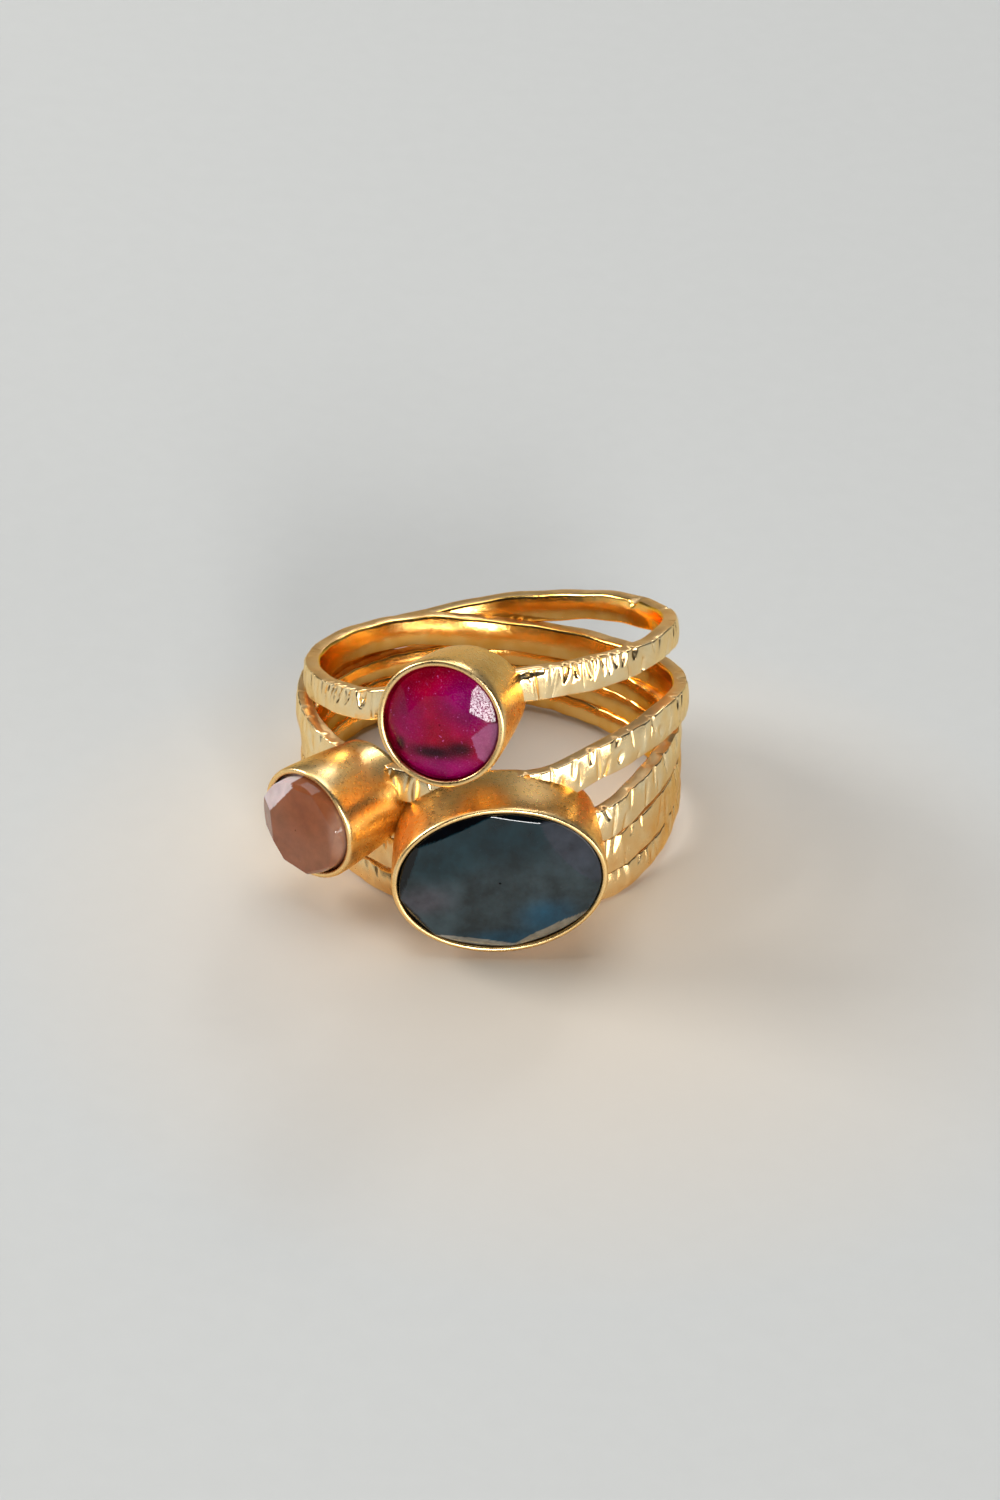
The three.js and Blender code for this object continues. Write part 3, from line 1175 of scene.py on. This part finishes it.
@dataclass(frozen=True)
class StoneFinish:
    """Polished gemstone with cloudy depth, fine specks and a little wear."""

    name: str
    cloud: float
    cloud_scale: float
    speck: Colour
    speck_scale: float
    speck_level: float
    speck_strength: float = 0.6
    roughness: float = 0.05
    glow: float = 0.1
    glow_depth: float = 0.0005
    index: float = 1.42
    wear_rough: float = 0.08
    wear_scale: float = 9000.0
    dimple_height: float = 0.000004
    dimple_scale: float = 4000.0

    def build(self) -> bpy.types.Material:
        """Returns the material."""
        nodes = NodeTree(self.name)
        colour = self.speckled(nodes, self.clouded(nodes))
        nodes.link(colour, nodes.surface.inputs["Base Color"])
        wear = nodes.noise(self.wear_scale, 3.0)
        worn = self.roughness + self.wear_rough
        rough = nodes.span(wear, (0.45, 0.7), (self.roughness, worn))
        nodes.link(rough, nodes.surface.inputs["Roughness"])
        nodes.surface.inputs["IOR"].default_value = self.index
        nodes.surface.inputs["Subsurface Weight"].default_value = self.glow
        nodes.surface.inputs["Subsurface Scale"].default_value = self.glow_depth
        dimples = nodes.noise(self.dimple_scale, 2.0)
        fine = nodes.bump(dimples, 0.2, self.dimple_height)
        nodes.link(fine, nodes.surface.inputs["Normal"])
        return nodes.material

    def clouded(self, nodes: NodeTree) -> bpy.types.NodeSocket:
        """Varies the stored tones with soft clouds.

        Args:
            nodes: The material's nodes.

        Returns:
            The clouded colour.
        """
        tone = nodes.add("ShaderNodeVertexColor", layer_name="tone").outputs["Color"]
        patches = nodes.noise(self.cloud_scale, 5.0, 0.6)
        shade = nodes.span(patches, (0.32, 0.68), (1.0 - self.cloud, 1.0 + self.cloud))
        cloud = nodes.add("ShaderNodeMix", data_type="RGBA", blend_type="MULTIPLY")
        cloud.inputs["Factor"].default_value = 1.0
        nodes.link(tone, cloud.inputs["A"])
        nodes.link(shade, cloud.inputs["B"])
        return cloud.outputs["Result"]

    def speckled(
        self, nodes: NodeTree, colour: bpy.types.NodeSocket
    ) -> bpy.types.NodeSocket:
        """Adds fine specks.

        Args:
            nodes: The material's nodes.
            colour: Colour under the specks.

        Returns:
            The speckled colour.
        """
        specks = nodes.noise(self.speck_scale, 2.0, 0.7)
        level = (self.speck_level, self.speck_level + 0.05)
        where = nodes.span(specks, level, (0.0, self.speck_strength))
        return nodes.tint(where, colour, self.speck)


@dataclass(frozen=True)
class AreaLight:
    """Soft rectangular light that looks at the ring. Places are in metres."""

    name: str
    place: tuple[float, float, float]
    size: tuple[float, float]
    power: float
    colour: Colour = (1.0, 1.0, 1.0)
    target: tuple[float, float, float] = (0.0, 0.0, 0.007)

    def build(self) -> bpy.types.Object:
        """Returns the light, linked into the scene."""
        data = bpy.data.lights.new(self.name, "AREA")
        data.shape = "RECTANGLE"
        data.size, data.size_y = self.size
        data.energy = self.power
        data.color = self.colour
        light = bpy.data.objects.new(self.name, data)
        light.location = self.place
        aim = Vector(self.target) - Vector(self.place)
        light.rotation_euler = aim.to_track_quat("-Z", "Y").to_euler()
        bpy.context.scene.collection.objects.link(light)
        return light


@dataclass(frozen=True)
class Studio:
    """Pale floor, soft light and the camera. Sizes are in metres."""

    floor_half: float = 1.2
    floor_rows: int = 25
    curve_start: float = 0.55
    curve_strength: float = 1.6
    floor_colour: Colour = (0.6, 0.61, 0.6)
    floor_shade: float = 0.985
    floor_roughness: float = 0.75
    # Painted warm glow on the floor near the ring, in place of light thrown off the gold
    painted_glow_colour: Colour = (0.74, 0.63, 0.5)
    painted_glow_shift: tuple[float, float, float] = (-0.15, 0.35, 0.0)
    painted_glow_scale: tuple[float, float, float] = (35.0, 35.0, 35.0)
    painted_glow_strength: float = 0.9
    surround_turn: float = 78.0
    surround_strength: float = 0.9
    surround: tuple[tuple[float, Colour], ...] = (
        (0.0, (0.05, 0.045, 0.04)),
        (0.45, (0.2, 0.2, 0.2)),
        (0.95, (0.95, 0.98, 1.0)),
    )

    def floor(self) -> bpy.types.Object:
        """Returns the floor, a sheet that curves up far behind the ring."""
        half = self.floor_half
        rows = []
        for share in np.linspace(-1, 1, self.floor_rows):
            depth = share * half
            rise = max(0.0, depth - self.curve_start) ** 2 * self.curve_strength
            for side in (-half, half):
                rows.append((side, depth, rise))
        faces = np.array([(i, i + 1, i + 3, i + 2) for i in range(0, len(rows) - 2, 2)])
        sheet = MeshPiece("floor").build(np.array(rows), faces)
        sheet.data.materials.append(self.paper())
        return sheet

    def paper(self) -> bpy.types.Material:
        """Returns the floor's paper, with a painted warm glow of light thrown off the gold in front
        of the ring.
        """
        nodes = NodeTree("floor_paper")
        fibre = nodes.noise(700.0, 4.0)
        tone = nodes.span(fibre, (0.3, 0.7), (0.0, 1.0))
        shade = tuple(value * self.floor_shade for value in self.floor_colour)
        cool = nodes.ramp(tone, ((0.0, shade), (1.0, self.floor_colour)))
        # Painted warm glow: a soft ball of warmer, brighter colour round a spot in front of the
        # ring
        shift = nodes.add("ShaderNodeMapping")
        shift.inputs["Location"].default_value = self.painted_glow_shift
        shift.inputs["Scale"].default_value = self.painted_glow_scale
        nodes.link(nodes.place, shift.inputs["Vector"])
        painted_glow_ball = nodes.add("ShaderNodeTexGradient", gradient_type="SPHERICAL")
        nodes.link(shift.outputs["Vector"], painted_glow_ball.inputs["Vector"])
        near = nodes.span(painted_glow_ball.outputs["Fac"], (0.0, 1.0), (0.0, self.painted_glow_strength))
        colour = nodes.tint(near, cool, self.painted_glow_colour)
        nodes.link(colour, nodes.surface.inputs["Base Color"])
        nodes.surface.inputs["Roughness"].default_value = self.floor_roughness
        nodes.link(nodes.bump(fibre, 0.2, 0.00005), nodes.surface.inputs["Normal"])
        return nodes.material

    def world(self) -> None:
        """Sets a soft surround: bright towards the back, dim overhead and dark in front."""
        world = bpy.data.worlds.new("surround")
        world.use_nodes = True
        tree = world.node_tree
        tree.nodes.clear()
        output = tree.nodes.new("ShaderNodeOutputWorld")
        back = tree.nodes.new("ShaderNodeBackground")
        place = tree.nodes.new("ShaderNodeTexCoord")
        lean = tree.nodes.new("ShaderNodeMapping")
        lean.inputs["Rotation"].default_value = (math.radians(self.surround_turn), 0.0, 0.0)
        split = tree.nodes.new("ShaderNodeSeparateXYZ")
        band = tree.nodes.new("ShaderNodeValToRGB")
        stops = band.color_ramp.elements
        while len(stops) < len(self.surround):
            stops.new(0.5)
        for stop, (position, colour) in zip(stops, self.surround):
            stop.position = position
            stop.color = (*colour, 1.0)
        tree.links.new(place.outputs["Generated"], lean.inputs["Vector"])
        tree.links.new(lean.outputs["Vector"], split.inputs["Vector"])
        tree.links.new(split.outputs["Z"], band.inputs["Fac"])
        tree.links.new(band.outputs["Color"], back.inputs["Color"])
        back.inputs["Strength"].default_value = self.surround_strength
        tree.links.new(back.outputs["Background"], output.inputs["Surface"])
        bpy.context.scene.world = world

    def lights(self) -> None:
        """Adds the soft lights."""
        # Name, place, size, power in watts and colour
        AreaLight("key", (-0.42, 0.13, 0.26), (0.2, 0.16), 2.6, (1.0, 0.98, 0.95)).build()
        AreaLight("front", (0.068, -0.468, 0.163), (0.13, 0.09), 2.4).build()
        AreaLight("window", (0.38, -0.38, 0.06), (0.34, 0.12), 1.7, (1.0, 0.95, 0.88)).build()
        AreaLight("rear", (0.12, 0.4, 0.26), (0.1, 0.08), 0.5).build()
        AreaLight("top", (-0.05, 0.15, 0.6), (0.5, 0.4), 2.6, (0.98, 0.99, 1.0)).build()

    def camera(self, place: RingFrame) -> bpy.types.Object:
        """Makes the camera at the photograph's viewing angle.

        Args:
            place: The ring's own frame, in which the view was measured.

        Returns:
            The camera object.
        """
        width, height = IMAGE_SIZE
        rise = math.radians(CAMERA_ELEVATION)
        right = Vector((1.0, 0.0, 0.0))
        upward = Vector((0.0, math.sin(rise), math.cos(rise)))
        back = Vector((0.0, -math.cos(rise), math.sin(rise)))
        focal = CAMERA_SCALE * CAMERA_DISTANCE
        across = (ORIGIN_PIXEL[0] - width / 2) / focal
        down = (ORIGIN_PIXEL[1] - height / 2) / focal
        spot = (back - right * across + upward * down) * CAMERA_DISTANCE
        turn = place.matrix().to_3x3()
        columns = [turn @ axis for axis in (right, upward, back)]
        matrix = Matrix(columns).transposed().to_4x4()
        matrix.translation = (place.matrix() @ spot) * MM
        data = bpy.data.cameras.new("camera")
        data.sensor_fit = "AUTO"
        data.sensor_width = SENSOR
        data.lens = focal / height * SENSOR
        data.clip_start = 0.01
        data.clip_end = 10.0
        camera = bpy.data.objects.new("camera", data)
        camera.matrix_world = matrix
        bpy.context.scene.collection.objects.link(camera)
        bpy.context.scene.camera = camera
        return camera


@dataclass(frozen=True)
class Ring:
    """The whole ring: strands, cups and stones."""

    place: RingFrame = RingFrame()

    def strands(self) -> list[Strand]:
        """Returns the strands from top to bottom."""
        twin = StrandTable(TWIN_ROWS, 720.0)
        upper = StrandTable(UPPER_ROWS, 360.0)
        middle = StrandTable(MIDDLE_ROWS, 360.0)
        lower = StrandTable(LOWER_ROWS, 360.0)
        pits = (Pit(33.0, 0.3, 0.22, 1.0), Pit(17.0, 0.22, 0.14, 0.0))
        return [
            Strand("strand_twin", twin, seed=11, notches=TWIN_NOTCHES, pits=pits),
            Strand("strand_upper", upper, seed=23, mark_depth=0.13),
            # The middle and lower strands take the warmer copy of the gold, a painted warm
            # reflection
            Strand("strand_middle", middle, seed=37, mark_depth=0.08, painted_outer_tone=PaintedOuterTone.WARM_REFLECTION),
            Strand("strand_lower", lower, seed=41, mark_depth=0.07, painted_outer_tone=PaintedOuterTone.WARM_REFLECTION),
        ]

    def cups(self) -> dict[Slot, Cup]:
        """Returns the three cups."""
        red = Cup(
            key="red",
            half_length=2.98,
            half_width=2.98,
            angle=-100.5,
            height=0.988,
            lean=3.0,
            swing=-6.0,
            taper=0.45,
            rim_inset=0.06,
            seed=3,
        )
        peach = Cup(
            key="peach",
            half_length=2.71,
            half_width=2.71,
            angle=-133.0,
            height=0.438,
            lean=-7.0,
            taper=0.35,
            rim_inset=0.04,
            seed=5,
        )
        blue = Cup(
            key="blue",
            half_length=5.08,
            half_width=3.76,
            angle=-88.0,
            height=0.305,
            lean=-6.0,
            turn=4.0,
            taper=0.3,
            rim_inset=0.02,
            seed=7,
        )
        return {Slot.RED: red, Slot.PEACH: peach, Slot.BLUE: blue}

    def metal(self) -> list[bpy.types.Object]:
        """Builds the strands and cups, which stand for the soldered band.

        Returns:
            The strands' and cups' objects.
        """
        # Name, light and deep tone, least and most roughness
        # One gold in several copies: the deeper orange of the edges, inner faces and cup walls is
        # painted bounced and reflected light; roughness and grain differ for real
        pale = GoldFinish("gold_hammered", (1.0, 0.82, 0.5), (0.97, 0.68, 0.32), 0.12, 0.28)
        # Warmer copy of the outer gold: painted warm reflected light
        warm = GoldFinish("gold_painted_warm", (1.0, 0.76, 0.4), (0.96, 0.58, 0.22), 0.14, 0.3)
        edge = GoldFinish("gold_edge", (0.95, 0.68, 0.36), (0.88, 0.55, 0.24), 0.3, 0.42)
        inner = GoldFinish(
            "gold_inner", (1.0, 0.66, 0.22), (0.92, 0.5, 0.1), 0.12, 0.24, wave_height=0.00004
        )
        satin = GoldFinish(
            "gold_satin", (1.0, 0.71, 0.34), (0.98, 0.65, 0.26), 0.24, 0.34, wave_height=0.000003
        )
        outer = {PaintedOuterTone.PALE: pale.build(), PaintedOuterTone.WARM_REFLECTION: warm.build()}
        sides = [edge.build(), inner.build()]
        wall = satin.build()
        pieces = [
            strand.build(self.place, [outer[strand.painted_outer_tone], *sides])
            for strand in self.strands()
        ]
        pieces += [BezelCup(cup).build(self.place, wall) for cup in self.cups().values()]
        for piece in pieces:
            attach(piece, "root")
            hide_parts("gold_band")
        return pieces

    def cuts(self) -> dict[Slot, StoneCut]:
        """Returns how each stone is cut."""
        cups = self.cups()
        mains = [Facet(28.5 + 45 * step, 24.0, 0.555) for step in range(8)]
        stars = [Facet(51.0 + 45 * step, 16.0, 0.505) for step in range(8)]
        girdles = [Facet(17.25 + 22.5 * step, 36.0, 0.876) for step in range(16)]
        red = StoneCut(
            cup=cups[Slot.RED],
            table_level=0.13,
            dome=0.02,
            facets=(*mains, *stars, *girdles),
            # Facet 7 shows a painted pale violet reflection
            painted_reflections=(Tint(7, (0.32, 0.1, 0.22), 0.7),),
        )
        peach = StoneCut(
            cup=cups[Slot.PEACH],
            table_level=0.83,
            dome=0.06,
            rise=0.14,
            facets=(
                Facet(124.0, 28.0, 0.6),
                Facet(180.0, 27.5, 0.55),
                Facet(215.0, 42.0, 0.66),
                Facet(255.0, 50.0, 0.78),
                Facet(300.0, 58.0, 0.84),
                Facet(345.0, 58.0, 0.82),
                Facet(30.0, 58.0, 0.82),
                Facet(75.0, 50.0, 0.86),
            ),
            # Facet 0 shows a painted pale reflection, facet 1 a painted darker reflection
            painted_reflections=(Tint(0, (0.62, 0.5, 0.5), 0.95), Tint(1, (0.25, 0.11, 0.07), 0.6)),
        )
        blue = StoneCut(
            cup=cups[Slot.BLUE],
            table_level=0.2,
            dome=0.22,
            edge_inset=0.08,
            facets=(
                Facet(28.0, 13.0, 0.68),
                Facet(73.0, 32.0, 0.9),
                Facet(118.0, 32.0, 0.86),
                Facet(163.0, 32.0, 0.88),
                Facet(208.0, 32.0, 0.92),
                Facet(253.0, 24.0, 0.86),
                Facet(300.0, 24.0, 0.84),
                Facet(343.0, 24.0, 0.93),
            ),
            # Facet 0 shows a painted dim grey reflection, facets 1 to 4 painted black reflections,
            # facets 5 and 6 painted pale reflections
            painted_reflections=(
                Tint(0, (0.03, 0.032, 0.045), 0.7),
                Tint(1, (0.001, 0.002, 0.003), 0.95),
                Tint(2, (0.001, 0.001, 0.002), 0.97),
                Tint(3, (0.001, 0.001, 0.001), 0.97),
                Tint(4, (0.004, 0.004, 0.004), 0.9),
                Tint(5, (0.2, 0.19, 0.16), 0.95),
                Tint(6, (0.18, 0.16, 0.12), 0.95),
            ),
        )
        return {Slot.RED: red, Slot.PEACH: peach, Slot.BLUE: blue}

    def tones(self) -> dict[Slot, StoneTones]:
        """Returns each stone's colours, painted shade, sheen and reflections among them."""
        crimson = (0.26, 0.0, 0.015)
        magenta = (0.21, 0.0, 0.11)
        shadow = (0.012, 0.0, 0.004)
        red = (
            Patch(0.45, 0.35, 0.5, 0.5, 0.8, magenta),
            Patch(-0.55, 0.0, 0.35, 0.5, 0.45, magenta),
            Patch(0.1, -0.75, 0.8, 0.28, 0.7, magenta),
            Patch(0.1, 0.0, 0.45, 0.35, 0.4, crimson),
            Patch(-0.1, -0.48, 0.42, 0.13, 0.95, shadow),
            Patch(0.35, -0.38, 0.24, 0.13, 0.9, shadow),
            Patch(-0.7, -0.42, 0.1, 0.14, 0.9, shadow),
            Patch(0.93, -0.1, 0.1, 0.6, 0.8, shadow),
        )
        apricot = (0.26, 0.1, 0.05)
        rust = (0.24, 0.065, 0.02)
        clay = (0.24, 0.09, 0.05)
        blush = (0.36, 0.2, 0.14)
        peach = (
            Patch(0.25, 0.45, 0.6, 0.7, 0.9, rust),
            Patch(-0.3, -0.4, 0.6, 0.5, 0.6, clay),
            Patch(0.9, 0.0, 0.14, 0.8, 0.7, blush),
        )
        slate = (0.022, 0.036, 0.042)
        teal = (0.002, 0.016, 0.022)
        painted_blue_sheen = (0.002, 0.04, 0.075)
        lilac = (0.05, 0.042, 0.052)
        painted_grey_reflection = (0.03, 0.035, 0.045)
        # The blue flash patches are a painted sheen and the grey mist patch a painted reflection
        blue = (
            Patch(0.0, 0.75, 1.1, 0.55, 0.95, teal),
            Patch(-0.6, 0.3, 0.4, 0.25, 0.8, teal),
            Patch(-0.75, -0.2, 0.3, 0.2, 0.7, lilac),
            Patch(0.1, -0.1, 0.7, 0.25, 0.5, slate),
            Patch(0.45, -0.55, 0.3, 0.25, 0.85, painted_blue_sheen),
            Patch(0.0, -0.85, 0.5, 0.15, 0.7, painted_blue_sheen),
            Patch(0.7, 0.45, 0.2, 0.3, 0.6, painted_grey_reflection),
        )
        return {
            Slot.RED: StoneTones(crimson, red),
            Slot.PEACH: StoneTones(apricot, peach),
            Slot.BLUE: StoneTones(slate, blue),
        }

    def polishes(self) -> dict[Slot, StoneFinish]:
        """Returns each stone's finish."""
        ruby = StoneFinish(
            name="ruby_red",
            cloud=0.3,
            cloud_scale=900.0,
            speck=(0.6, 0.12, 0.4),
            speck_scale=5200.0,
            speck_level=0.66,
            index=1.32,
            wear_rough=0.6,
            wear_scale=13000.0,
        )
        moonstone = StoneFinish(
            name="peach_moonstone",
            cloud=0.15,
            cloud_scale=1300.0,
            speck=(0.4, 0.2, 0.15),
            speck_scale=5000.0,
            speck_level=0.74,
            glow=0.25,
        )
        labradorite = StoneFinish(
            name="blue_labradorite",
            cloud=0.5,
            cloud_scale=700.0,
            speck=(0.12, 0.14, 0.16),
            speck_scale=6000.0,
            speck_level=0.74,
        )
        return {Slot.RED: ruby, Slot.PEACH: moonstone, Slot.BLUE: labradorite}

    def stones(self) -> list[bpy.types.Object]:
        """Builds the stones, which stand for those of the solid model.

        Returns:
            The stones' objects.
        """
        cuts = self.cuts()
        tones = self.tones()
        stones = []
        for slot, finish in self.polishes().items():
            stone = CutStone(cuts[slot], tones[slot]).build(self.place, finish.build())
            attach(stone, "root")
            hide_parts(slot.value)
            stones.append(stone)
        return stones


def main() -> None:
    """Builds the studio and the ring."""
    ring = Ring()
    studio = Studio()
    camera = studio.camera(ring.place)
    floor = studio.floor()
    studio.world()
    studio.lights()
    LOG.info("placed %s, %s and the lights", camera.name, floor.name)
    for piece in ring.metal() + ring.stones():
        LOG.info("built %s with %d faces", piece.name, len(piece.data.polygons))
    bpy.context.scene.view_settings.view_transform = "Standard"
    bpy.context.scene.view_settings.exposure = EXPOSURE


if __name__ == "__main__":
    logging.basicConfig(level=logging.INFO)
    main()
